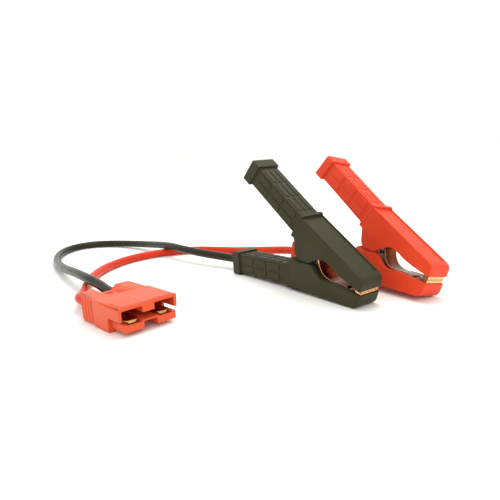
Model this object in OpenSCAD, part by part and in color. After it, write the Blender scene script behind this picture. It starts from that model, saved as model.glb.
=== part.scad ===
// Battery clamp lead: two spring clamps on single-core cables, joined by a two-pole power connector.
// Millimetres. +Z up, the lead lies on Z = 0, the black clamp runs along +X with its jaws forward.

/* [Clamp arm] */
// width of a clamp across its covers
clamp_w = 18; // [14:0.5:26]
// pivot to the front of the jaws
jaw_reach = 48; // [38:1:65]
// grip length from the middle collar to the end
grip_len = 62; // [48:1:85]
// how much shorter the upper grip is
upper_less = 1.4; // [0:0.1:8]
// how far the upper grip's end is cut back at the outer side
end_slant = 2.6; // [0:0.1:4]
// grip depth, inner face to outer face
grip_depth = 15; // [12:0.5:20]
// grip width across its two sides
grip_w = 16; // [12:0.5:22]
// angle of each grip from the clamp's centre line
grip_angle = 18.6; // [14:0.2:24]
// how far behind the pivot the grip starts
root_back = 10.4; // [8:0.2:14]
// how far off the centre line the grip starts
root_rise = 17.6; // [15:0.2:22]
// depth of the upper cover at its nose
upper_nose = 9.6; // [8:0.2:13]
// depth of the lower cover at its nose
lower_nose = 11; // [8:0.2:13]
// space between the two covers at the nose
mouth_gap = 2.4; // [2:0.1:5]
// side height of the jaws' eye above the centre line
eye_rise = 6.2; // [4:0.2:9]
// wall of the upper cover's cheeks
cheek_wall = 1.6; // [1.2:0.1:2.4]
// wall of the covers' backs and noses
back_wall = 2; // [1.5:0.1:3]

/* [Collars and grip pattern] */
// length of the collar at the end of a grip
end_collar = 8; // [5:0.5:12]
// length of the middle collar
mid_collar = 2.2; // [1.5:0.1:4]
// how far a collar stands out
collar_out = 1; // [0.5:0.1:1.8]
// length of one raised brick of the grip pattern
brick_len = 12.8; // [9:0.2:20]
// groove between two bricks
brick_gap = 1.5; // [0.8:0.1:2.2]
// height of a brick
brick_rise = 0.45; // [0.2:0.05:0.8]
// rows of bricks on the back and inner faces
brick_rows = 3; // [2:1:5]
// rows of bricks on each side
side_rows = 2; // [1:1:4]
// depth of the sunk panel in an upper cover's back
panel_sink = 0.8; // [0.2:0.1:1.2]
// rim left beside that panel
panel_rim = 1.2; // [0.8:0.1:2.5]

/* [Pivot and spring] */
// pivot pin diameter
pin_d = 4; // [3:0.1:5]
// radial play of the moving frame on the pin
pin_play = 0.05; // [0.02:0.01:0.1]
// steel frame plate thickness
plate_t = 1; // [0.8:0.1:1.5]
// side play between moving plates
side_play = 0.3; // [0.2:0.05:0.5]
// spring wire diameter
wire_d = 1.5; // [1:0.1:1.8]
// turns of the spring
turns = 4; // [3:1:4]
// how far each spring leg reaches into its grip
leg_len = 7; // [4:0.5:12]

/* [Copper jaws] */
// thickness of the copper strips
strip_t = 1.2; // [0.8:0.1:1.6]
// width of the copper strips behind the teeth
strip_w = 10.8; // [8:0.2:11]
// width of the toothed tip
tip_w = 15; // [10:0.5:17]
// length of the toothed tip
tip_len = 4.6; // [3:0.2:7]
// height of a tooth
tooth_h = 0.85; // [0.4:0.05:1.2]
// gap left between the closed rows of teeth
tooth_gap = 0.2; // [0.1:0.05:0.5]
// how far the teeth stand behind the front of the covers
tip_back = 0.6; // [0:0.1:1.5]
// teeth across a tip
teeth = 5; // [3:1:8]
// how far the red jaws stand open on their taller teeth
red_gape = 2.2; // [0:0.1:3]

/* [Connector] */
// length of the connector housing
plug_l = 47.5; // [40:0.5:60]
// width of the connector housing
plug_w = 36.6; // [34:0.2:46]
// height of the connector housing
plug_h = 15.7; // [14:0.1:20]
// length of the open hood
hood_l = 21; // [16:0.5:28]
// wall of the hood
hood_wall = 1.9; // [1.4:0.1:3]
// length of the recessed sides beside the tongue
shoulder_l = 12.5; // [8:0.5:18]
// how far the tongue stands in front of the hood
tongue_out = 1.4; // [0.2:0.2:3]
// width of the rib and notch in the middle
rib_w = 7.6; // [5:0.2:11]
// fixing hole diameter
fix_d = 5.8; // [3:0.2:7]
// distance between the two contacts
pole_gap = 19.4; // [16:0.2:24]
// contact width
contact_w = 8; // [5:0.2:9]
// contact thickness
contact_t = 2; // [1.2:0.1:2.6]
// outer diameter of the contact's wire barrel
barrel_d = 7; // [5.5:0.1:8]

/* [Cables] */
// outer diameter of each cable
cable_d = 6.4; // [5:0.1:7.2]
// play around a cable in its entry
entry_play = 0.2; // [0.1:0.05:0.5]
// copper conductor diameter
core_d = 4; // [2.5:0.1:4.6]

/* [Layout] */
// black clamp, rear end of its lower grip
black_x = -71.7;
// black clamp, middle of its width
black_y = 33.95;
// red clamp, rear end of its lower grip
red_x = -52.7;
// red clamp, edge that it stands on
red_y = 83.5;
// red clamp, turn about the vertical
red_yaw = -3; // [-8:0.5:8]
// red clamp, lean onto its far edge
red_lean = 11; // [0:0.5:14]
// connector, front middle
plug_x = -9.2;
// connector, front middle
plug_y = -74.65;
// connector, turn about the vertical
plug_yaw = 7; // [-10:0.5:20]

/* [Hidden] */

eps = 0.01;
bite = 0.4;
round_fn = 40;
tube_fn = 32;
wire_fn = 14;
coil_fn = 24;
cable_sides = 12;

black_plastic = [0.16, 0.16, 0.13];
red_plastic = [0.85, 0.17, 0.10];
copper = [0.75, 0.42, 0.24];
steel = [0.70, 0.70, 0.70];
tinned = [0.80, 0.72, 0.55];

// ---- arm profile, drawn as the upper arm: x forward from the pivot, y outward from the centre line
grip_dir = [-cos(grip_angle), sin(grip_angle)];
grip_out = [sin(grip_angle), cos(grip_angle)];
root = [-root_back, root_rise];
grip_end = root + grip_dir * grip_len;
half_collar = grip_depth / 2 + collar_out;
heel = grip_end + grip_out * half_collar;
root_outer = root + grip_out * grip_depth / 2;
root_inner = root - grip_out * grip_depth / 2;
nose_chamfer = 3.6;
nose_step = 1.2;

// the clamp rests on its heel and on the lower cover's nose
toe = [jaw_reach - nose_chamfer, lower_nose];
clamp_tilt = atan((heel[1] - toe[1]) / (toe[0] - heel[0]));
pivot_z = heel[1] * cos(clamp_tilt) + heel[0] * sin(clamp_tilt);
pivot_x = heel[1] * sin(clamp_tilt) - heel[0] * cos(clamp_tilt);
stand_half = max(clamp_w / 2, grip_w / 2 + collar_out);

// half widths, from the outside in
cover_half = clamp_w / 2;
ear_half = cover_half - cheek_wall - side_play;
ear_wall = 1.4;
lower_half = ear_half - ear_wall;
upper_half = lower_half - plate_t - side_play;
spring_half = upper_half - plate_t;
ear_r = pin_d / 2 + 3.4;
frame_r = pin_d / 2 + 3;
cheek_drop = 2;

brick_nip = 0.9;
collar_side = 0.15;
bore_h = grip_depth - 2 * back_wall;
bore_end = 3;
tang_len = 30;
tang_t = 1.2;
lug_at = 30;
lug_len = 11;
lug_wall = 0.9;
lug_d = core_d + 2 * lug_wall;
cable_in = lug_at + lug_len;

strip_edge = mouth_gap / 2;
rivet_d = 2.4;
rivet_head_d = 4.4;
rivet_head_t = 0.8;
rivet_at = 0.83 * jaw_reach;
rivet_in = 3;
nose_block = 7;

coil_r = pin_d / 2 + 0.35 + wire_d / 2;
coil_pitch = 0.98 * wire_d;
leg_thin = 0.1;

// ---- connector
mid_z = plug_h / 2;
lip_z = 8.2;
tongue_in = 2.1;
tongue_low = hood_wall + 0.1;
tongue_z = 6.6;
floor_z = mid_z - contact_t;
rib_z = 10.2;
notch_z = plug_h - rib_z + 0.2;
notch_play = 0.3;
lobe_round = 6.5;
lobe_edge = 3;
lobe_in = 3.1;
corner_run = 6;
corner_nip = 3.4;
edge_round = 1;
lobe_from = 27;
web_z = 3.2;
panel_l = 14;
panel_up = 0.35;
panel_in = 2.4;
rib_count = 5;
rib_pitch = 3.5;
rib_groove = 1.4;
rib_deep = 0.7;
rib_from = 29.5;
fix_x = plug_l - 4.6;
chamber_d = barrel_d + 0.4;
entry_d = cable_d + 2 * entry_play;
barrel_l = 12;
barrel_end = 36;
contact_tip = 0.8;
contact_roll = 1.35;
tip_round = 3;
tip_floor = mid_z - 2 * contact_roll - 0.15;
leaf_t = 0.5;
leaf_w = 5;
leaf_arch = 0.7;
leaf_from = 6;
leaf_to = 19;

// ---- cable routes between the two straight ends, chosen by hand
black_route = [
    [-87, -73, 9.3], [-104, -74.5, 10.6], [-129, -74, 9.8], [-160, -72, 7],
    [-190, -68, 4.4], [-217, -62, 3.4], [-240, -53, 3.3], [-257, -40, 3.3],
    [-265, -25, 3.3], [-262, -9, 3.3], [-250, 5, 3.3], [-229, 15, 4.2],
    [-205, 19.5, 6], [-181, 20.5, 8.4], [-160, 20.5, 10], [-138, 21.5, 10],
    [-114, 26, 9.2]];
red_route = [
    [-79, -87, 6.2], [-95.5, -80, 4.4], [-115, -71, 3.5], [-132, -61.5, 3.3],
    [-148, -48.5, 3.3], [-161, -32, 3.3], [-169.5, -13, 3.3], [-171.5, 7, 3.3],
    [-167, 26, 3.3], [-156.5, 43, 3.3], [-140, 55, 3.4], [-120.5, 63.5, 4.2],
    [-102, 69.5, 6]];
exit_run = 8;
route_steps = 2;

function turn(p, a) = [p[0] * cos(a) - p[1] * sin(a), p[0] * sin(a) + p[1] * cos(a)];
function unit(v) = v / norm(v);

// smooth curve through points
function spline_at(a, b, c, d, t) =
    0.5 * ((2 * b) + (c - a) * t + (2 * a - 5 * b + 4 * c - d) * t * t
    + (3 * b - a - 3 * c + d) * t * t * t);
function spline(p, n) = [
    for (i = [0 : len(p) - 2], k = [0 : n - 1])
        spline_at(p[max(i - 1, 0)], p[i], p[i + 1], p[min(i + 2, len(p) - 1)], k / n),
    p[len(p) - 1]];

// tube swept along points
function tangent(p, i) = unit(p[min(i + 1, len(p) - 1)] - p[max(i - 1, 0)]);
function ring(p, i, r, n) =
    let (t = tangent(p, i), s = unit(cross(t, [0, 0, 1])), u = cross(s, t))
    [for (k = [0 : n - 1]) p[i] + r * (cos(360 * k / n) * s + sin(360 * k / n) * u)];

module tube(p, r, n) {
    last = (len(p) - 1) * n;
    points = [for (i = [0 : len(p) - 1]) each ring(p, i, r, n)];
    walls = [for (i = [0 : len(p) - 2], k = [0 : n - 1])
        [i * n + k, i * n + (k + 1) % n, (i + 1) * n + (k + 1) % n, (i + 1) * n + k]];
    near_cap = [for (k = [0 : n - 1]) n - 1 - k];
    far_cap = [for (k = [0 : n - 1]) last + k];
    polyhedron(points, concat([near_cap], walls, [far_cap]));
}

// ---- placing
// from arm profile (x, y) to the clamp's own upright frame, rear end of the lower grip at x = 0
module in_clamp() {
    translate([pivot_x, 0, pivot_z]) rotate([0, clamp_tilt, 0]) children();
}
module black_place() {
    translate([black_x, black_y, 0]) in_clamp() children();
}
module red_place() {
    translate([red_x, red_y, 0]) rotate([0, 0, red_yaw]) rotate([-red_lean, 0, 0])
        translate([0, -stand_half, 0]) in_clamp() children();
}
module plug_place() {
    translate([plug_x, plug_y, 0]) rotate([0, 0, plug_yaw]) children();
}
// a flat profile made into a plate of this full width
module slab(w) {
    rotate([90, 0, 0]) translate([0, 0, -w / 2]) linear_extrude(w) children();
}
module lower_arm() {
    mirror([0, 0, 1]) children();
}
// frame of a grip: x along the grip from its root to its end, z outward
module at_grip() {
    translate([root[0], 0, root[1]]) rotate([0, grip_angle - 180, 0]) mirror([0, 0, 1]) children();
}

// ---- covers
eye_line = spline([
    [jaw_reach, strip_edge], [0.73 * jaw_reach, strip_edge + 1.3], [0.57 * jaw_reach, 3.9],
    [0.46 * jaw_reach, eye_rise - 0.6], [0.34 * jaw_reach, eye_rise],
    [0.25 * jaw_reach, eye_rise - 1.8], [0.17 * jaw_reach, 1.6]], 3);

function nose_line(nose) = [
    [jaw_reach - nose_chamfer, nose], [jaw_reach - nose_chamfer / 3, nose - nose_step],
    [jaw_reach, nose - nose_chamfer]];

module upper_outline() {
    polygon(concat([root_inner, root_outer], nose_line(upper_nose), eye_line, [
        [4.6, -cheek_drop + 0.7], [0, -cheek_drop], [-4.6, -cheek_drop], [-7, -0.9],
        [-8.4, 1.6], [-10.6, 8]]));
}
module lower_outline() {
    polygon(concat([root_inner, root_outer], nose_line(lower_nose), eye_line, [
        [4.6, cheek_drop], [0.5, cheek_drop + 1.2], [-3, cheek_drop + 2.7],
        [-9, cheek_drop + 2.9], [-12.4, 7.6]]));
}
module ear_outline() {
    circle(ear_r, $fn = round_fn);
    polygon([[-ear_r, 0], [-7.6, 2.5], [-11.2, 5], [-13, 8.6], [0, 12], [9, 8],
        [0.17 * jaw_reach, 2.2], [ear_r - 0.4, 1.5]]);
}
// inside of a cover, open along the mouth
module cover_hollow(nose) {
    polygon([
        root_inner + [0.5, back_wall], root_outer + [1.6, -back_wall],
        [jaw_reach - nose_chamfer, nose - back_wall - 0.6],
        [jaw_reach - back_wall, nose - nose_chamfer], [jaw_reach - back_wall, -ear_r - 2],
        [-18, -ear_r - 2], [-15.5, 8]]);
}
// bricks in straight rows, counted from the end collar; each has its corners cut
module brick_rows_at(face_w, rows, len) {
    row_h = (face_w - brick_gap * (rows + 1)) / rows;
    stop = len - end_collar - 2 * brick_gap;
    pitch = brick_len + brick_gap;
    cut = min(brick_nip, row_h / 3);
    for (r = [0 : rows - 1], k = [0 : floor((stop - mid_collar - brick_gap) / pitch) - 1])
        translate([stop - k * pitch - brick_len, -face_w / 2 + brick_gap + r * (row_h + brick_gap)])
            polygon([
                [cut, 0], [brick_len - cut, 0], [brick_len, cut], [brick_len, row_h - cut],
                [brick_len - cut, row_h], [cut, row_h], [0, row_h - cut], [0, cut]]);
}
module grip_solid(len, slant) {
    core_d2 = grip_depth - 2 * brick_rise;
    core_w2 = grip_w - 2 * brick_rise;
    translate([-bite, -core_w2 / 2, -core_d2 / 2]) cube([len - slant, core_w2, core_d2]);
    collar_w = grip_w + 2 * collar_out;
    slab(collar_w) polygon([
        [len - end_collar, -half_collar], [len, -half_collar],
        [len - slant, half_collar], [len - end_collar - slant, half_collar]]);
    translate([-mid_collar / 2, -cover_half - collar_side, -half_collar])
        cube([mid_collar, clamp_w + 2 * collar_side, 2 * half_collar]);
    // bricks on the outer and inner faces, then on both sides
    for (s = [-1, 1]) {
        translate([0, 0, s * (core_d2 / 2 - bite / 2) + (s - 1) / 2 * (brick_rise + bite / 2)])
            linear_extrude(brick_rise + bite / 2) brick_rows_at(core_w2, brick_rows, len - slant);
        translate([0, s * (core_w2 / 2 - bite / 2) + (s + 1) / 2 * (brick_rise + bite / 2), 0])
            rotate([90, 0, 0]) linear_extrude(brick_rise + bite / 2)
                    brick_rows_at(core_d2, side_rows, len - slant);
    }
}
module grip_bore(hole, len) {
    translate([-bore_h, -lower_half, -bore_h / 2])
        cube([len - bore_end + bore_h, 2 * lower_half, bore_h]);
    if (hole > 0)
        translate([len - bore_end - eps, 0, 0]) rotate([0, 90, 0])
            cylinder(h = bore_end + 2 * eps, d = hole, $fn = tube_fn);
}
module back_panel(nose) {
    run = [jaw_reach - nose_chamfer, nose] - root_outer;
    slope = atan2(-run[1], run[0]);
    translate([root_outer[0], 0, root_outer[1]]) rotate([0, slope, 0])
        translate([mid_collar / 2, -cover_half + panel_rim, -panel_sink])
            cube([norm(run) - panel_rim - mid_collar / 2, clamp_w - 2 * panel_rim, 3 * panel_sink]);
}
module upper_cover() {
    difference() {
        union() {
            slab(clamp_w) upper_outline();
            at_grip() grip_solid(grip_len - upper_less, end_slant);
        }
        slab(clamp_w - 2 * cheek_wall) cover_hollow(upper_nose);
        at_grip() grip_bore(0, grip_len - upper_less - end_slant);
        back_panel(upper_nose);
    }
}
module lower_cover() {
    lower_arm() difference() {
        union() {
            slab(clamp_w) lower_outline();
            slab(2 * ear_half) ear_outline();
            at_grip() grip_solid(grip_len, 0);
        }
        slab(2 * lower_half) cover_hollow(lower_nose);
        at_grip() grip_bore(entry_d, grip_len);
        slab(clamp_w + 1) circle(d = pin_d, $fn = round_fn);
        back_panel(lower_nose);
    }
}

// ---- copper strips, drawn as the upper arm's: the mouth is at y = 0
front_line = [[0.76 * jaw_reach, 3], [jaw_reach - tip_len + 0.4, 0.75]];
lower_line = concat(
    spline([
        [0.2 * jaw_reach, -4.2], [0.25 * jaw_reach, 0.4], [0.32 * jaw_reach, 3.6],
        [0.41 * jaw_reach, 4.8], [0.5 * jaw_reach, 4.5], [0.61 * jaw_reach, 3.1],
        [0.735 * jaw_reach, 2.3]], 3),
    front_line);
upper_line = concat([[0.62 * jaw_reach, 4.3]], front_line);

function reversed(p) = [for (i = [len(p) - 1 : -1 : 0]) p[i]];
function side_step(p, d) = [
    for (i = [0 : len(p) - 1])
        let (t = unit(p[min(i + 1, len(p) - 1)] - p[max(i - 1, 0)])) p[i] + d * [-t[1], t[0]]];
seat_line = side_step(front_line, strip_t);
front_slope = atan2(front_line[0][1] - front_line[1][1], front_line[1][0] - front_line[0][0]);

module toothed_tip(add, shift) {
    pitch = tip_w / teeth;
    base = strip_edge;
    low = tooth_h / 2 + tooth_gap / 2 - add;
    left = -tip_w / 2;
    line = [for (k = [0 : teeth - 1]) each shift > 0
        ? [[left + k * pitch, low], [left + (k + 0.5) * pitch, low - tooth_h]]
        : [[left + k * pitch, low - tooth_h], [left + (k + 0.5) * pitch, low]]];
    last = shift > 0 ? low : low - tooth_h;
    translate([jaw_reach - tip_len, 0, 0]) rotate([90, 0, 90]) linear_extrude(tip_len - tip_back)
        polygon(concat(line, [[-left, last], [-left, base], [left, base]]));
}
module at_rivet() {
    translate([front_line[0][0], 0, front_line[0][1]]) rotate([0, front_slope, 0])
        translate([rivet_at - front_line[0][0], 0, 0]) children();
}
module jaw(line, add, shift) {
    difference() {
        union() {
            slab(strip_w) polygon(concat(line, reversed(side_step(line, strip_t))));
            toothed_tip(add, shift);
        }
        at_rivet() translate([0, 0, -1]) cylinder(h = strip_t + 2, d = rivet_d, $fn = tube_fn);
    }
}
module rivet() {
    at_rivet() {
        translate([0, 0, -rivet_head_t]) cylinder(h = rivet_head_t, d = rivet_head_d, $fn = tube_fn);
        translate([0, 0, -rivet_head_t / 2])
            cylinder(h = strip_t + rivet_in + rivet_head_t / 2, d = rivet_d, $fn = tube_fn);
    }
}

// ---- steel frames: plates beside the pivot, joined along the cover's back, with a tang in the grip
module frame_outline(nose) {
    front = nose - back_wall - 0.8;
    circle(frame_r, $fn = round_fn);
    polygon(concat([
        [-frame_r, 0], [-9, 6], root_inner + [3, back_wall + 1.5],
        root_outer + [2.4, -back_wall - 0.6], [seat_line[1][0] - 1, front],
        seat_line[1], seat_line[0]], [
        [0.6 * jaw_reach, 5.8], [0.34 * jaw_reach, eye_rise + 1.4], [0.2 * jaw_reach, 6],
        [frame_r, 0]]));
}
module frame_inside(nose) {
    front = nose - back_wall - 0.8;
    block = seat_line[1][0] - nose_block;
    polygon([
        [-20, -8], [-20, 8.2], root_inner + [0, back_wall + 4.4],
        root_outer + [3, -back_wall - 0.8 - plate_t], [block, front - plate_t + 1.6],
        [block, 0], [0.5 * jaw_reach, -8]]);
}
module frame(half, nose, play) {
    difference() {
        slab(2 * half) frame_outline(nose);
        slab(2 * (half - plate_t)) frame_inside(nose);
        slab(2 * half + 1) circle(pin_d / 2 + play, $fn = round_fn);
        at_rivet() cylinder(h = strip_t + rivet_in, d = rivet_d, $fn = tube_fn);
    }
    at_grip() translate([-9, -half, bore_h / 2 - tang_t]) cube([tang_len + 9, 2 * half, tang_t]);
}
module pivot_pin() {
    rotate([90, 0, 0]) translate([0, 0, -ear_half]) cylinder(h = 2 * ear_half, d = pin_d, $fn = round_fn);
}

// ---- torsion spring: turns round the pin, one leg in each grip
leg_tip = root + grip_dir * leg_len + grip_out * (bore_h / 2 - tang_t - wire_d / 2 - 0.1);
leg_run = sqrt(pow(norm(leg_tip), 2) - coil_r * coil_r);
leg_angle = atan2(leg_tip[1], leg_tip[0]) + asin(coil_r / norm(leg_tip));

module spring_leg(side, swing) {
    translate([0, side * (turns - 1) / 2 * coil_pitch, 0]) mirror([0, 0, side > 0 ? 0 : 1])
        rotate([0, -leg_angle - swing, 0]) translate([0, 0, -coil_r]) rotate([0, 90, 0])
            cylinder(h = leg_run, d = wire_d - leg_thin, $fn = wire_fn);
}
module spring(gape) {
    rotate([90, 0, 0]) rotate_extrude($fn = coil_fn) for (k = [0 : turns - 1])
        translate([coil_r, (k - (turns - 1) / 2) * coil_pitch]) circle(d = wire_d, $fn = wire_fn);
    spring_leg(1, gape);
    spring_leg(-1, 0);
}

// ---- cable end inside the lower grip
module lug() {
    lower_arm() at_grip() {
        difference() {
            union() {
                translate([lug_at, 0, 0]) rotate([0, 90, 0])
                    cylinder(h = lug_len, d = lug_d, $fn = tube_fn);
                translate([lug_at - 2, -lug_d / 4, 0]) cube([4, lug_d / 2, bore_h / 2 - tang_t]);
                translate([lug_at - 16, -lug_d / 2, bore_h / 2 - 2 * tang_t])
                    cube([18, lug_d, tang_t]);
            }
            translate([lug_at, 0, 0]) rotate([0, 90, 0])
                cylinder(h = lug_len + 1, d = core_d, $fn = tube_fn);
        }
    }
}
module core() {
    lower_arm() at_grip() translate([lug_at, 0, 0]) rotate([0, 90, 0])
        cylinder(h = lug_len, d = core_d, $fn = tube_fn);
}

// ---- connector, front at x = 0, mating direction +X
module round_rect(y0, y1, z0, z1, r) {
    translate([y0 + r, z0]) square([y1 - y0 - 2 * r, z1 - z0]);
    translate([y0, z0 + r]) square([y1 - y0, z1 - z0 - 2 * r]);
    for (y = [y0 + r, y1 - r], z = [z0 + r, z1 - r]) translate([y, z]) circle(r, $fn = round_fn);
}
// a cable lobe, rounder towards the valley than at its outer side
module lobe_section(y0, y1) {
    a = lobe_round;
    b = lobe_edge;
    translate([y0 + a, 0]) square([y1 - y0 - a - b, plug_h]);
    translate([y0, a]) square([a + eps, plug_h - 2 * a]);
    translate([y1 - b - eps, b]) square([b + eps, plug_h - 2 * b]);
    for (z = [a, plug_h - a]) translate([y0 + a, z]) circle(a, $fn = round_fn);
    for (z = [b, plug_h - b]) translate([y1 - b, z]) circle(b, $fn = round_fn);
}
// a section across the connector, made into a bar from x0 to x1
module bar(x0, x1) {
    translate([x0, 0, 0]) rotate([90, 0, 90]) linear_extrude(x1 - x0) children();
}
module rear_block() {
    half = plug_w / 2;
    intersection() {
        union() {
            bar(-plug_l, -lobe_from) {
                for (s = [-1, 1]) scale([s, 1]) lobe_section(lobe_in, half);
                translate([-lobe_in - lobe_round, web_z])
                    square([2 * (lobe_in + lobe_round), plug_h - 2 * web_z]);
            }
            bar(-lobe_from - bite, -shoulder_l) round_rect(-half, half, 0, plug_h, edge_round);
        }
        linear_extrude(plug_h) polygon([
            [0, -half], [corner_run - plug_l, -half], [-plug_l, corner_nip - half],
            [-plug_l, half - corner_nip], [corner_run - plug_l, half], [0, half]]);
    }
}
module hood() {
    half = plug_w / 2;
    bar(-shoulder_l - bite, 0) difference() {
        round_rect(-half, half, 0, plug_h, edge_round);
        translate([-half - 1, -1]) square([plug_w + 2, lip_z + 1]);
    }
    translate([-panel_l, panel_in - half, plug_h - bite])
        cube([panel_l - panel_in / 2, plug_w - 2 * panel_in, panel_up + bite]);
}
module tongue() {
    half = plug_w / 2 - tongue_in;
    translate([-shoulder_l - bite, -half, tongue_low])
        cube([shoulder_l + tongue_out + bite, 2 * half, tongue_z - tongue_low]);
}
module connector_housing() {
    half = plug_w / 2;
    notch = rib_w + 2 * notch_play;
    difference() {
        union() {
            rear_block();
            difference() {
                hood();
                translate([-shoulder_l - 1, hood_wall - half, 0])
                    cube([shoulder_l + 2, plug_w - 2 * hood_wall, plug_h - hood_wall]);
            }
            tongue();
        }
        // inside of the hood behind the shoulder
        translate([-hood_l, hood_wall - half, tongue_z])
            cube([hood_l - shoulder_l + eps, plug_w - 2 * hood_wall, plug_h - hood_wall - tongue_z]);
        // groove under the tongue for the other connector's rib
        translate([-shoulder_l, -notch / 2, -1])
            cube([shoulder_l + tongue_out + 1, notch, notch_z + 1]);
        for (s = [-1, 1]) translate([0, s * pole_gap / 2, 0]) {
            // channel of the contact, room for its leaf, chamber of its barrel, entry of its cable
            translate([barrel_l - barrel_end - 2, -contact_w / 2 - 0.2, floor_z])
                cube([barrel_end - barrel_l + tongue_out + 3, contact_w + 0.4, mid_z - floor_z]);
            translate([-contact_tip - 2 * contact_roll - 0.4, -contact_w / 2 - 0.2, tip_floor])
                cube([2 * contact_roll + 0.8, contact_w + 0.4, mid_z - tip_floor]);
            translate([-leaf_to - 1, -leaf_w / 2 - 0.3, floor_z - leaf_arch - leaf_t])
                cube([leaf_to - leaf_from + 2, leaf_w + 0.6, leaf_arch + leaf_t + 1]);
            translate([-barrel_end, 0, mid_z]) rotate([0, 90, 0])
                cylinder(h = barrel_end - hood_l + 1, d = chamber_d, $fn = round_fn);
            translate([-plug_l - 1, 0, mid_z]) rotate([0, 90, 0])
                cylinder(h = plug_l - barrel_end + 2, d = entry_d, $fn = round_fn);
        }
        translate([-fix_x, 0, -1]) cylinder(h = plug_h + 2, d = fix_d, $fn = round_fn);
        for (s = [-1, 1], k = [0 : rib_count - 1])
            translate([-rib_from - k * rib_pitch, s * (half + rib_groove - rib_deep), -1])
                cylinder(h = plug_h + 2, r = rib_groove, $fn = tube_fn);
    }
    translate([-hood_l - eps, -rib_w / 2, rib_z])
        cube([hood_l + eps, rib_w, plug_h - hood_wall - rib_z + eps]);
}
module contact() {
    difference() {
        union() {
            intersection() {
                union() {
                    translate([-barrel_end + barrel_l - 1, -contact_w / 2, floor_z])
                        cube([
                            barrel_end - barrel_l + 1 - contact_tip - contact_roll,
                            contact_w, contact_t]);
                    translate([-contact_tip - contact_roll, contact_w / 2, mid_z - contact_roll])
                        rotate([90, 0, 0]) cylinder(h = contact_w, r = contact_roll, $fn = tube_fn);
                }
                linear_extrude(plug_h) {
                    translate([-barrel_end, -contact_w])
                        square([barrel_end - contact_tip - tip_round, 2 * contact_w]);
                    translate([-contact_tip - tip_round - eps, tip_round - contact_w / 2])
                        square([tip_round + eps, contact_w - 2 * tip_round]);
                    for (s = [-1, 1])
                        translate([-contact_tip - tip_round, s * (contact_w / 2 - tip_round)])
                            circle(tip_round, $fn = tube_fn);
                }
            }
            translate([-barrel_end, 0, mid_z]) rotate([0, 90, 0])
                cylinder(h = barrel_l, d = barrel_d, $fn = round_fn);
        }
        translate([-barrel_end - 1, 0, mid_z]) rotate([0, 90, 0])
            cylinder(h = barrel_l - 1, d = core_d, $fn = tube_fn);
    }
}
module leaf() {
    mid = (leaf_from + leaf_to) / 2;
    low = floor_z - leaf_arch - leaf_t;
    slab(leaf_w) polygon([
        [-leaf_to, low], [-mid - 2, floor_z - leaf_t], [-mid + 2, floor_z - leaf_t],
        [-leaf_from, low], [-leaf_from, low + leaf_t], [-mid + 2, floor_z],
        [-mid - 2, floor_z], [-leaf_to, low + leaf_t]]);
}
module plug_core() {
    translate([-barrel_end, 0, mid_z]) rotate([0, 90, 0])
        cylinder(h = barrel_l - 2, d = core_d, $fn = tube_fn);
}
module at_pole(s) {
    plug_place() translate([0, s * pole_gap / 2, 0]) children();
}

// ---- cables
function plug_point(x, s) =
    let (q = turn([x, s * pole_gap / 2], plug_yaw)) [plug_x + q[0], plug_y + q[1], mid_z];
function grip_point(a) =
    let (p = root + grip_dir * a)
    [pivot_x + p[0] * cos(clamp_tilt) - p[1] * sin(clamp_tilt), 0,
     pivot_z - p[0] * sin(clamp_tilt) - p[1] * cos(clamp_tilt)];
function black_point(a) = [black_x, black_y, 0] + grip_point(a);
function red_point(a) =
    let (g = grip_point(a), y = -stand_half * cos(red_lean) + g[2] * sin(red_lean),
         z = stand_half * sin(red_lean) + g[2] * cos(red_lean), q = turn([g[0], y], red_yaw))
    [red_x + q[0], red_y + q[1], z];
black_line = concat(
    [plug_point(-barrel_end, 1), plug_point(-plug_l, 1), plug_point(-plug_l - exit_run, 1)],
    black_route,
    [black_point(grip_len + exit_run), black_point(grip_len), black_point(cable_in)]);
red_line = concat(
    [plug_point(-barrel_end, -1), plug_point(-plug_l, -1), plug_point(-plug_l - exit_run, -1)],
    red_route,
    [red_point(grip_len + exit_run), red_point(grip_len), red_point(cable_in)]);

module cable_black() {
    color(black_plastic) tube(spline(black_line, route_steps), cable_d / 2, cable_sides);
}
module cable_red() {
    color(red_plastic) tube(spline(red_line, route_steps), cable_d / 2, cable_sides);
}

red_tip = jaw_reach * sin(red_gape) / 2;
module red_open() {
    red_place() rotate([0, -red_gape, 0]) children();
}

color(red_plastic) plug_place() connector_housing();
color(tinned) at_pole(-1) contact();  // positive_contact
color(tinned) at_pole(1) contact();  // negative_contact
color(steel) at_pole(-1) leaf();  // positive_leaf
color(steel) at_pole(1) leaf();  // negative_leaf
color(copper) at_pole(-1) plug_core();  // positive_core
color(copper) at_pole(1) plug_core();  // negative_core
cable_red();
cable_black();

color(black_plastic) black_place() lower_cover();  // black_lower_cover
color(black_plastic) black_place() upper_cover();  // black_upper_cover
color(steel) black_place() lower_arm() frame(lower_half, lower_nose, 0);  // black_lower_frame
color(steel) black_place() frame(upper_half, upper_nose, pin_play);  // black_upper_frame
color(copper) black_place() lower_arm() jaw(lower_line, 0, 0);  // black_lower_jaw
color(copper) black_place() jaw(upper_line, 0, 1);  // black_upper_jaw
color(steel) black_place() pivot_pin();  // black_pivot_pin
color(steel) black_place() spring(0);  // black_spring
color(copper) black_place() lug();  // black_lug
color(copper) black_place() core();  // black_core
color(steel) black_place() lower_arm() rivet();  // black_lower_rivet
color(steel) black_place() rivet();  // black_upper_rivet

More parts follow.
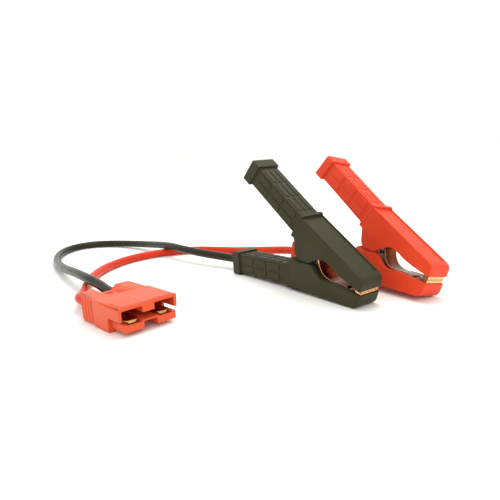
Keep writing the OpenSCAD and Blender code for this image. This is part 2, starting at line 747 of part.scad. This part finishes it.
color(red_plastic) red_place() lower_cover();  // red_lower_cover
color(red_plastic) red_open() upper_cover();  // red_upper_cover
color(steel) red_place() lower_arm() frame(lower_half, lower_nose, 0);  // red_lower_frame
color(steel) red_open() frame(upper_half, upper_nose, pin_play);  // red_upper_frame
color(copper) red_place() lower_arm() jaw(lower_line, red_tip, 0);  // red_lower_jaw
color(copper) red_open() jaw(upper_line, red_tip, 1);  // red_upper_jaw
color(steel) red_place() pivot_pin();  // red_pivot_pin
color(steel) red_place() spring(red_gape);  // red_spring
color(copper) red_place() lug();  // red_lug
color(copper) red_place() core();  // red_core
color(steel) red_place() lower_arm() rivet();  // red_lower_rivet
color(steel) red_open() rivet();  // red_upper_rivet
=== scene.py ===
# Battery clamp lead: a two-pole power connector, two single-core cables and two sprung clamps.
# Metres, +Z up. The lead lies on Z = 0 with the black clamp along +X.

import math

import bmesh
import bpy
from mathutils import Matrix, Vector
from mathutils.bvhtree import BVHTree


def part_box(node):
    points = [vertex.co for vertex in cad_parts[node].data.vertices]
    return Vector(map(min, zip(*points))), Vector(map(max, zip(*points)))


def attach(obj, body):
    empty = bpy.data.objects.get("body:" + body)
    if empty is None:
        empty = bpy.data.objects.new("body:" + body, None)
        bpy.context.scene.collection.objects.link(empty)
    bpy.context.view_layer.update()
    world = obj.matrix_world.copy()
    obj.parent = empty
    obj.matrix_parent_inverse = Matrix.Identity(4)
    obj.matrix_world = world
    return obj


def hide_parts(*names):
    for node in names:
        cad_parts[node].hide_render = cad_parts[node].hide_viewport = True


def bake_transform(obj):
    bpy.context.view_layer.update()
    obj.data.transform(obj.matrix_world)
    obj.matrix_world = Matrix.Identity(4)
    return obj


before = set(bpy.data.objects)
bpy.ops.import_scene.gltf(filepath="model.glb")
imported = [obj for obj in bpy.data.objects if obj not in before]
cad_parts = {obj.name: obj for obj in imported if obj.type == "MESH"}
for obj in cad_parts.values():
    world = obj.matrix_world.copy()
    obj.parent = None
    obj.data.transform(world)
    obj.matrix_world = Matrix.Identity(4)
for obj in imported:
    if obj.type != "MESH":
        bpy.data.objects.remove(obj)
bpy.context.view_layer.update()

# ---------------------------------------------------------------- camera
# Low and close, a little above the clamps, looking along the lead from in front of the jaws.
eye = Vector((0.2298, -0.18365, 0.09556))
heading = Vector((-0.8010, 0.5987, 0.0)).normalized()
look_down = math.radians(12.04)
roll = math.radians(2.91)
ahead = heading * math.cos(look_down) - Vector((0, 0, math.sin(look_down)))
level = ahead.cross(Vector((0, 0, 1))).normalized()
above = level.cross(ahead)
cam_x = level * math.cos(roll) - above * math.sin(roll)
cam_y = level * math.sin(roll) + above * math.cos(roll)
lens = bpy.data.cameras.new("camera")
lens.lens = 36
lens.sensor_width = 36
lens.clip_start = 0.01
camera = bpy.data.objects.new("camera", lens)
turned = Matrix((cam_x, cam_y, -ahead)).transposed().to_4x4()
camera.matrix_world = Matrix.Translation(eye) @ turned
bpy.context.scene.collection.objects.link(camera)
bpy.context.scene.camera = camera

# ---------------------------------------------------------------- studio
# A matt white table under a white tent, with one broad lamp overhead and a weaker one in front.
# The table's top lies a hair under the lead, so that no two faces share a plane.
table_size = 60.0
table_drop = 0.0002


def link(obj):
    bpy.context.scene.collection.objects.link(obj)
    return obj


table_mesh = bpy.data.meshes.new("table")
half = table_size / 2
table_mesh.from_pydata(
    [(-half, -half, 0), (half, -half, 0), (half, half, 0), (-half, half, 0)], [], [(0, 1, 2, 3)])
table = link(bpy.data.objects.new("table", table_mesh))
table.location.z = -table_drop
table_paint = bpy.data.materials.new("table_white")
table_paint.use_nodes = True
paint = table_paint.node_tree.nodes["Principled BSDF"]
paint.inputs["Base Color"].default_value = (0.95, 0.94, 0.905, 1)
paint.inputs["Roughness"].default_value = 0.6
paint.inputs["Specular IOR Level"].default_value = 0.25
table_mesh.materials.append(table_paint)

tent = bpy.data.worlds.new("tent")
bpy.context.scene.world = tent
tent.use_nodes = True
tent.node_tree.nodes["Background"].inputs["Color"].default_value = (1.0, 1.0, 0.99, 1)
tent.node_tree.nodes["Background"].inputs["Strength"].default_value = 1.1

for name, place, aim, size, power in (
        ("lamp_top", (-0.15, 0.25, 0.9), (0, 0, 0), 0.7, 5.0),
        ("lamp_front", (0.75, -0.35, 0.55), (0, 0, 0.03), 0.45, 1.6)):
    lamp = bpy.data.lights.new(name, "AREA")
    lamp.size = size
    lamp.energy = power
    lamp_at = link(bpy.data.objects.new(name, lamp))
    lamp_at.location = place
    lamp_at.rotation_euler = (Vector(aim) - Vector(place)).to_track_quat("-Z", "Y").to_euler()
bpy.context.scene.view_settings.view_transform = "Standard"

# ---------------------------------------------------------------- cables
# Stranded copper in a glossy soft sheath, black and red, each one length from the connector to its
# clamp. They lie on the table; the black one rises over the red one in two long low humps. The far
# hump is too low: the two sheaths cut 0.26 mm into each other there.
cable_d = 0.0064
steps_per_span = 10
black_route = (
    (-46.11, -69.41, 7.85), (-57.53, -70.81, 7.85), (-71.42, -72.52, 7.85), (-87, -73, 9.3),
    (-104, -74.5, 10.6), (-129, -74, 9.8), (-160, -72, 7), (-190, -68, 4.4), (-217, -62, 3.4),
    (-240, -53, 3.3), (-257, -40, 3.3), (-265, -25, 3.3), (-262, -9, 3.3), (-250, 5, 3.3),
    (-229, 15, 4.2), (-205, 19.5, 6), (-181, 20.5, 8.4), (-160, 20.5, 10), (-138, 21.5, 10),
    (-114, 26, 9.2), (-85.9, 33.95, 8.17), (-71.9, 33.95, 8.5), (-50.91, 33.95, 8.99))
red_route = (
    (-43.75, -88.66, 7.85), (-55.16, -90.07, 7.85), (-69.06, -91.77, 7.85), (-79, -87, 6.2),
    (-95.5, -80, 4.4), (-115, -71, 3.5), (-132, -61.5, 3.3), (-148, -48.5, 3.3),
    (-161, -32, 3.3), (-169.5, -13, 3.3), (-171.5, 7, 3.3), (-167, 26, 3.3),
    (-156.5, 43, 3.3), (-140, 55, 3.4), (-120.5, 63.5, 4.2), (-102, 69.5, 6),
    (-67.26, 76.98, 9.74), (-53.28, 76.31, 10.06), (-32.31, 75.3, 10.54))


def smooth_line(points, steps):
    """Points along one smooth curve through these, in metres."""
    p = [Vector(q) * 0.001 for q in points]
    line = []
    for i in range(len(p) - 1):
        a, b, c, d = p[max(i - 1, 0)], p[i], p[i + 1], p[min(i + 2, len(p) - 1)]
        for k in range(steps):
            t = k / steps
            line.append(0.5 * (2 * b + (c - a) * t + (2 * a - 5 * b + 4 * c - d) * t * t
                               + (3 * b - a - 3 * c + d) * t ** 3))
    return line + [p[-1]]


def node(tree, kind, **inputs):
    """A shader node with its settings: lower-case names are properties, others are sockets."""
    made = tree.nodes.new(kind)
    for key, value in inputs.items():
        if key[0].islower():
            setattr(made, key, value)
        else:
            made.inputs[key.replace("_", " ")].default_value = value
    return made


def join(tree, source, out, target, into):
    tree.links.new(source.outputs[out], target.inputs[into])


def build_skin_group():
    """Moulded plastic skin: a fine grain, slow blotches, and a pale cast of dust and painted sheen on
    what faces up, so the tops are painted paler as if lit from above.
    """
    g = bpy.data.node_groups.new("moulded_skin", "ShaderNodeTree")
    g.interface.new_socket(name="Grain", in_out="INPUT", socket_type="NodeSocketFloat")
    g.interface.new_socket(name="Blotch", in_out="INPUT", socket_type="NodeSocketFloat")
    g.interface.new_socket(name="Height", in_out="OUTPUT", socket_type="NodeSocketFloat")
    g.interface.new_socket(name="Blotches", in_out="OUTPUT", socket_type="NodeSocketFloat")
    g.interface.new_socket(name="Dust and painted sheen", in_out="OUTPUT", socket_type="NodeSocketFloat")
    start = g.nodes.new("NodeGroupInput")
    end = g.nodes.new("NodeGroupOutput")
    where = g.nodes.new("ShaderNodeTexCoord")
    grain = node(g, "ShaderNodeTexNoise", Detail=2.0, Roughness=0.6)
    join(g, where, "Object", grain, "Vector")
    join(g, start, "Grain", grain, "Scale")
    join(g, grain, "Fac", end, "Height")
    blotch = node(g, "ShaderNodeTexNoise", Detail=4.0, Roughness=0.55)
    join(g, where, "Object", blotch, "Vector")
    join(g, start, "Blotch", blotch, "Scale")
    spread = node(g, "ShaderNodeMapRange", From_Min=0.32, From_Max=0.68)
    join(g, blotch, "Fac", spread, "Value")
    join(g, spread, "Result", end, "Blotches")
    # dust and painted sheen: only where the surface faces up, in fine speckles; it paints the tops
    # paler, as a painted highlight from the lamp overhead as well as dust
    facing = g.nodes.new("ShaderNodeNewGeometry")
    split = g.nodes.new("ShaderNodeSeparateXYZ")
    join(g, facing, "Normal", split, "Vector")
    up = node(g, "ShaderNodeMapRange", From_Min=0.35, From_Max=1.0)
    join(g, split, "Z", up, "Value")
    speck = node(g, "ShaderNodeTexNoise", Scale=900.0, Detail=3.0)
    join(g, where, "Object", speck, "Vector")
    sift = node(g, "ShaderNodeMapRange", From_Min=0.45, From_Max=0.75)
    join(g, speck, "Fac", sift, "Value")
    dust_and_painted_sheen = node(g, "ShaderNodeMath", operation="MULTIPLY")
    join(g, up, "Result", dust_and_painted_sheen, 0)
    join(g, sift, "Result", dust_and_painted_sheen, 1)
    join(g, dust_and_painted_sheen, "Value", end, "Dust and painted sheen")
    return g


skin_group = build_skin_group()


def colour_mix(tree, first=None, second=None):
    """A mix of two colours: socket 0 takes the share, 6 and 7 the colours, and 2 gives it out."""
    mix = node(tree, "ShaderNodeMix", data_type="RGBA")
    for socket, colour in ((6, first), (7, second)):
        if colour:
            mix.inputs[socket].default_value = (*colour, 1)
    return mix


def gloss_and_bump(tree, shader, gloss_from, rough, bump_from, bump_height, strength):
    """Roughness runs between its two values with one pattern, and the bump follows another."""
    gloss = node(tree, "ShaderNodeMapRange", To_Min=rough[0], To_Max=rough[1])
    join(tree, *gloss_from, gloss, "Value")
    join(tree, gloss, "Result", shader, "Roughness")
    bump = node(tree, "ShaderNodeBump", Distance=bump_height, Strength=strength)
    join(tree, *bump_from, bump, "Height")
    join(tree, bump, "Normal", shader, "Normal")


def moulded(name, colour, deep, dust_and_sheen_colour, rough, grain, bump_height, blotch, sheen, dust_and_painted_sheen, glint):
    """A moulded or extruded plastic: colour varies to deep in blotches, and pales on what faces up under
    dust and a painted sheen.
    """
    m = bpy.data.materials.new(name)
    m.use_nodes = True
    t = m.node_tree
    shader = t.nodes["Principled BSDF"]
    skin = node(t, "ShaderNodeGroup", node_tree=skin_group, Grain=grain, Blotch=blotch)
    tint = colour_mix(t, colour, deep)
    join(t, skin, "Blotches", tint, 0)
    # the up-facing tops turn toward a paler colour: partly dust, partly a painted highlight from above
    dust_and_sheen_mix = colour_mix(t, second=dust_and_sheen_colour)
    join(t, tint, 2, dust_and_sheen_mix, 6)
    dust_and_sheen_share = node(t, "ShaderNodeMath", operation="MULTIPLY")
    dust_and_sheen_share.inputs[1].default_value = dust_and_painted_sheen
    join(t, skin, "Dust and painted sheen", dust_and_sheen_share, 0)
    join(t, dust_and_sheen_share, 0, dust_and_sheen_mix, 0)
    join(t, dust_and_sheen_mix, 2, shader, "Base Color")
    gloss_and_bump(t, shader, (skin, "Blotches"), rough, (skin, "Height"), bump_height, 0.6)
    shader.inputs["Specular IOR Level"].default_value = sheen
    shader.inputs["Specular Tint"].default_value = (*glint, 1)
    return m


# The sheaths pale slightly on top: a little dust and a painted sheen from the lamp overhead.
sheath_black = moulded(
    "sheath_black", colour=(0.014, 0.012, 0.007), deep=(0.020, 0.018, 0.011), dust_and_sheen_colour=(0.05, 0.045, 0.03),
    rough=(0.24, 0.32), grain=1500.0, bump_height=0.000004, blotch=45.0, sheen=0.2, dust_and_painted_sheen=0.03,
    glint=(1, 0.93, 0.76))
sheath_red = moulded(
    "sheath_red", colour=(0.56, 0.028, 0.008), deep=(0.62, 0.036, 0.013), dust_and_sheen_colour=(0.75, 0.16, 0.10),
    rough=(0.28, 0.36), grain=1500.0, bump_height=0.000004, blotch=45.0, sheen=0.2, dust_and_painted_sheen=0.03,
    glint=(1, 0.8, 0.62))
for name, route, finish, exit_at, long in (
        ("cable_black", black_route, sheath_black, black_route[1], 0.4751),
        ("cable_red", red_route, sheath_red, red_route[1], 0.3505)):
    line = smooth_line(route, steps_per_span)
    curve = bpy.data.curves.new(name + "_sheath", "CURVE")
    curve.dimensions = "3D"
    curve.bevel_depth = cable_d / 2
    curve.bevel_resolution = 6
    curve.use_fill_caps = True
    run = curve.splines.new("POLY")
    run.points.add(len(line) - 1)
    for place, at in zip(run.points, line):
        place.co = (*at, 1)
    run.use_smooth = True
    curve.materials.append(finish)
    cable = link(bpy.data.objects.new(name + "_sheath", curve))
    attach(cable, "lead")
    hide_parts(name)

# ---------------------------------------------------------------- connector housing
# One moulding in red glass-filled nylon: an open hood over a tongue, two cable barrels with finger
# grooves, and a cross hole for a fixing screw. Every outer edge is rounded by the mould.


def soften(node_name, piece_name, widest, least=0.0):
    """A copy of a CAD solid with clean faces and moulded edges: each edge's round is as wide as the
    narrower face beside it allows. Edges of faces narrower than least stay sharp, and no vertex
    leaves the solid's own box."""
    weld, speck = 0.000003, 0.000002
    same_face, corner = math.radians(0.5), math.radians(24)
    share_of_face, share_of_edge, stray_share = 0.3, 0.4, 0.75
    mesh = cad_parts[node_name].data.copy()
    mesh.name = piece_name
    for layer in ("custom_normal", "sharp_edge", "sharp_face"):
        if layer in mesh.attributes:
            mesh.attributes.remove(mesh.attributes[layer])
    bm = bmesh.new()
    bm.from_mesh(mesh)
    bmesh.ops.remove_doubles(bm, verts=bm.verts, dist=weld)
    bmesh.ops.dissolve_degenerate(bm, edges=bm.edges, dist=speck)
    bmesh.ops.dissolve_limit(bm, angle_limit=same_face, verts=bm.verts, edges=bm.edges)
    weight = bm.edges.layers.float.new("bevel_weight_edge")
    breadth = {f: 2 * f.calc_area() / max(sum(e.calc_length() for e in f.edges), 1e-9)
               for f in bm.faces}
    sharp = {e for e in bm.edges
             if len(e.link_faces) == 2 and e.calc_face_angle() > corner}
    for e in sharp:
        narrowest = min(breadth[f] for f in e.link_faces)
        room = narrowest * share_of_face
        for v in e.verts:
            for other in v.link_edges:
                if other not in sharp or sum(x in sharp for x in v.link_edges) > 2:
                    room = min(room, other.calc_length() * share_of_edge)
        e[weight] = 0.0 if narrowest < least else min(1.0, room / widest)
    for f in bm.faces:
        f.smooth = True
    bm.to_mesh(mesh)
    bm.free()
    mesh.materials.clear()
    piece = link(bpy.data.objects.new(piece_name, mesh))
    rounding = piece.modifiers.new("moulded edges", "BEVEL")
    rounding.limit_method = "WEIGHT"
    rounding.width = widest
    rounding.segments = 3
    rounding.use_clamp_overlap = False
    rounding.harden_normals = False
    ready = piece.evaluated_get(bpy.context.evaluated_depsgraph_get())
    rounded = bpy.data.meshes.new_from_object(ready)
    surface = BVHTree.FromPolygons(
        [v.co for v in mesh.vertices], [list(f.vertices) for f in mesh.polygons])
    low = [min(v.co[i] for v in mesh.vertices) for i in range(3)]
    high = [max(v.co[i] for v in mesh.vertices) for i in range(3)]
    for v in rounded.vertices:
        at, _, _, stray = surface.find_nearest(v.co)
        if stray > widest * stray_share:
            v.co = at
        v.co = Vector([min(max(c, a), b) for c, a, b in zip(v.co, low, high)])
    piece.modifiers.clear()
    piece.data = rounded
    rounded.name = piece_name
    shading = piece.modifiers.new("face shading", "WEIGHTED_NORMAL")
    shading.weight = 80
    shading.keep_sharp = False
    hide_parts(node_name)
    return piece


# Its tops are painted pale pink: a painted sheen from the lamp overhead, and some dust.
nylon = moulded(
    "connector_nylon", colour=(0.64, 0.070, 0.020), deep=(0.70, 0.088, 0.028), dust_and_sheen_colour=(0.78, 0.24, 0.14),
    rough=(0.34, 0.46), grain=1300.0, bump_height=0.00002, blotch=50.0, sheen=0.32, dust_and_painted_sheen=0.3,
    glint=(1, 0.86, 0.7))
housing = soften("connector_housing", "connector_shell", 0.0006, least=0.0005)
housing.data.materials.append(nylon)
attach(housing, "lead")

# ---------------------------------------------------------------- contacts, leaves and conductors
# Two stamped copper contacts with a warm tin plate, each on a steel leaf spring, and the bare ends
# of the conductors crimped in their barrels.


def metal(name, colour, deep, rough, streak, bump_height, edge=None, side=(0, 1, 0), tip_x=0.0):
    """Worked metal: long fine drawing marks and a darker stain. A sheared edge, on the side faces
    or on the front face beyond tip_x, takes the edge colour; on the jaws that is plain copper, beside
    faces painted dark as painted shade."""
    m = bpy.data.materials.new(name)
    m.use_nodes = True
    t = m.node_tree
    shader = t.nodes["Principled BSDF"]
    where = t.nodes.new("ShaderNodeTexCoord")
    stretch = node(t, "ShaderNodeMapping", Scale=streak)
    join(t, where, "Object", stretch, "Vector")
    marks = node(t, "ShaderNodeTexNoise", Scale=400.0, Detail=3.0)
    join(t, stretch, "Vector", marks, "Vector")
    stain = node(t, "ShaderNodeTexNoise", Scale=120.0, Detail=4.0)
    join(t, where, "Object", stain, "Vector")
    amount = node(t, "ShaderNodeMapRange", From_Min=0.42, From_Max=0.72)
    join(t, stain, "Fac", amount, "Value")
    seen = colour_mix(t, colour, deep)
    join(t, amount, "Result", seen, 0)
    if edge:
        sideways = node(t, "ShaderNodeVectorMath", operation="DOT_PRODUCT")
        sideways.inputs[1].default_value = side
        join(t, where, "Normal", sideways, 0)
        size = node(t, "ShaderNodeMath", operation="ABSOLUTE")
        join(t, sideways, "Value", size, 0)
        front = t.nodes.new("ShaderNodeSeparateXYZ")
        join(t, where, "Normal", front, 0)
        along = t.nodes.new("ShaderNodeSeparateXYZ")
        join(t, where, "Object", along, 0)
        at_tip = node(t, "ShaderNodeMath", operation="GREATER_THAN")
        at_tip.inputs[1].default_value = tip_x
        join(t, along, "X", at_tip, 0)
        sheared = node(t, "ShaderNodeMath", operation="MULTIPLY")
        join(t, front, "X", sheared, 0)
        join(t, at_tip, "Value", sheared, 1)
        most = node(t, "ShaderNodeMath", operation="MAXIMUM")
        join(t, size, "Value", most, 0)
        join(t, sheared, "Value", most, 1)
        cut = node(t, "ShaderNodeMapRange", From_Min=0.55, From_Max=0.85)
        join(t, most, "Value", cut, "Value")
        sheared_edge_mix = colour_mix(t, second=edge)
        join(t, cut, "Result", sheared_edge_mix, 0)
        join(t, seen, 2, sheared_edge_mix, 6)
        seen = sheared_edge_mix
    join(t, seen, 2, shader, "Base Color")
    gloss_and_bump(t, shader, (marks, "Fac"), rough, (marks, "Fac"), bump_height, 0.5)
    shader.inputs["Metallic"].default_value = 1.0
    return m


tin_plate = metal(
    "tin_plate", colour=(0.62, 0.38, 0.17), deep=(0.36, 0.17, 0.06),
    rough=(0.16, 0.30), streak=(1, 5, 5), bump_height=0.00001)
leaf_steel = metal(
    "leaf_steel", colour=(0.58, 0.56, 0.54), deep=(0.40, 0.37, 0.33),
    rough=(0.22, 0.36), streak=(1, 6, 6), bump_height=0.00001)
bare_copper = metal(
    "bare_copper", colour=(0.78, 0.40, 0.22), deep=(0.55, 0.24, 0.12),
    rough=(0.25, 0.42), streak=(8, 1, 8), bump_height=0.00002)


def refinish(node_name, finish):
    """The CAD node stays as it is and takes this finish."""
    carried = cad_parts[node_name]
    carried.data.materials.clear()
    carried.data.materials.append(finish)


for pole in ("positive", "negative"):
    blade = soften(pole + "_contact", pole + "_contact_blade", 0.0004)
    blade.data.materials.append(tin_plate)
    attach(blade, "lead")
    refinish(pole + "_leaf", leaf_steel)
    refinish(pole + "_core", bare_copper)

# ---------------------------------------------------------------- clamp covers
# Soft satin covers, one pair black and one pair red-orange, pushed over the steel arms. Square
# collars, long round-cornered bricks for grip, a sunk panel in the back, and a blunt rounded nose.
# Their tops are painted paler: a painted sheen from the lamp overhead, and some dust.
cover_black = moulded(
    "cover_black", colour=(0.031, 0.030, 0.014), deep=(0.040, 0.038, 0.019), dust_and_sheen_colour=(0.060, 0.055, 0.034),
    rough=(0.40, 0.52), grain=1600.0, bump_height=0.00002, blotch=55.0, sheen=0.14, dust_and_painted_sheen=0.08,
    glint=(1, 0.95, 0.8))
cover_red = moulded(
    "cover_red", colour=(0.66, 0.040, 0.010), deep=(0.72, 0.055, 0.016), dust_and_sheen_colour=(0.80, 0.13, 0.06),
    rough=(0.42, 0.54), grain=1600.0, bump_height=0.00002, blotch=55.0, sheen=0.28, dust_and_painted_sheen=0.2,
    glint=(1, 0.85, 0.68))
for colour, finish in (("black", cover_black), ("red", cover_red)):
    for arm, body in (("lower", "lead"), ("upper", colour + "_upper_arm")):
        cover = soften(f"{colour}_{arm}_cover", f"{colour}_{arm}_grip_cover", 0.0009)
        cover.data.materials.append(finish)
        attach(cover, body)

# ---------------------------------------------------------------- jaws
# Copper strip, bent to an S behind the teeth and held to its arm by one rivet. Its faces are
# painted dark brown, a painted shade for the shade inside the eye and the dark covers it reflects;
# its sheared side faces and tip keep the bright colour of copper. Each side is the way that clamp's
# pin points: the red clamp is turned and leans away from the black one.
tip_depth = 0.003
for colour, side in (("black", (0, 1, 0)), ("red", (0.051, 0.980, -0.191))):
    tip_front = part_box(colour + "_lower_jaw")[1].x
    # colour and deep are copper darkened as painted shade; edge is the plain bright copper
    jaw_copper = metal(
        colour + "_jaw_copper", colour=(0.21, 0.045, 0.012), deep=(0.10, 0.020, 0.005),
        rough=(0.20, 0.36), streak=(2, 1, 8), bump_height=0.00001,
        edge=(0.80, 0.44, 0.20), side=side, tip_x=tip_front - tip_depth)
    for arm, body in (("lower", "lead"), ("upper", colour + "_upper_arm")):
        jaw = soften(f"{colour}_{arm}_jaw", f"{colour}_{arm}_jaw_strip", 0.00025)
        jaw.data.materials.append(jaw_copper)
        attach(jaw, body)

# ---------------------------------------------------------------- steel inside the clamps
# Pressed steel arms, the pivot pin, a torsion spring and the rivets, all bright zinc plated, with
# the cable's lug and its bare conductor in the lower grip.
zinc_steel = metal(
    "zinc_steel", colour=(0.62, 0.62, 0.60), deep=(0.42, 0.40, 0.36),
    rough=(0.24, 0.40), streak=(1, 8, 2), bump_height=0.00001)
spring_wire = metal(
    "spring_wire", colour=(0.50, 0.49, 0.47), deep=(0.30, 0.28, 0.25),
    rough=(0.20, 0.34), streak=(1, 1, 1), bump_height=0.00001)
for colour in ("black", "red"):
    for inside in ("lower_frame", "upper_frame", "pivot_pin", "lower_rivet", "upper_rivet"):
        refinish(f"{colour}_{inside}", zinc_steel)
    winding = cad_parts[colour + "_spring"].data.copy()
    winding.materials.clear()
    winding.materials.append(spring_wire)
    spring = link(bpy.data.objects.new(colour + "_torsion_spring", winding))
    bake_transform(spring)
    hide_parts(colour + "_spring")
    refinish(colour + "_lug", bare_copper)
    refinish(colour + "_core", bare_copper)
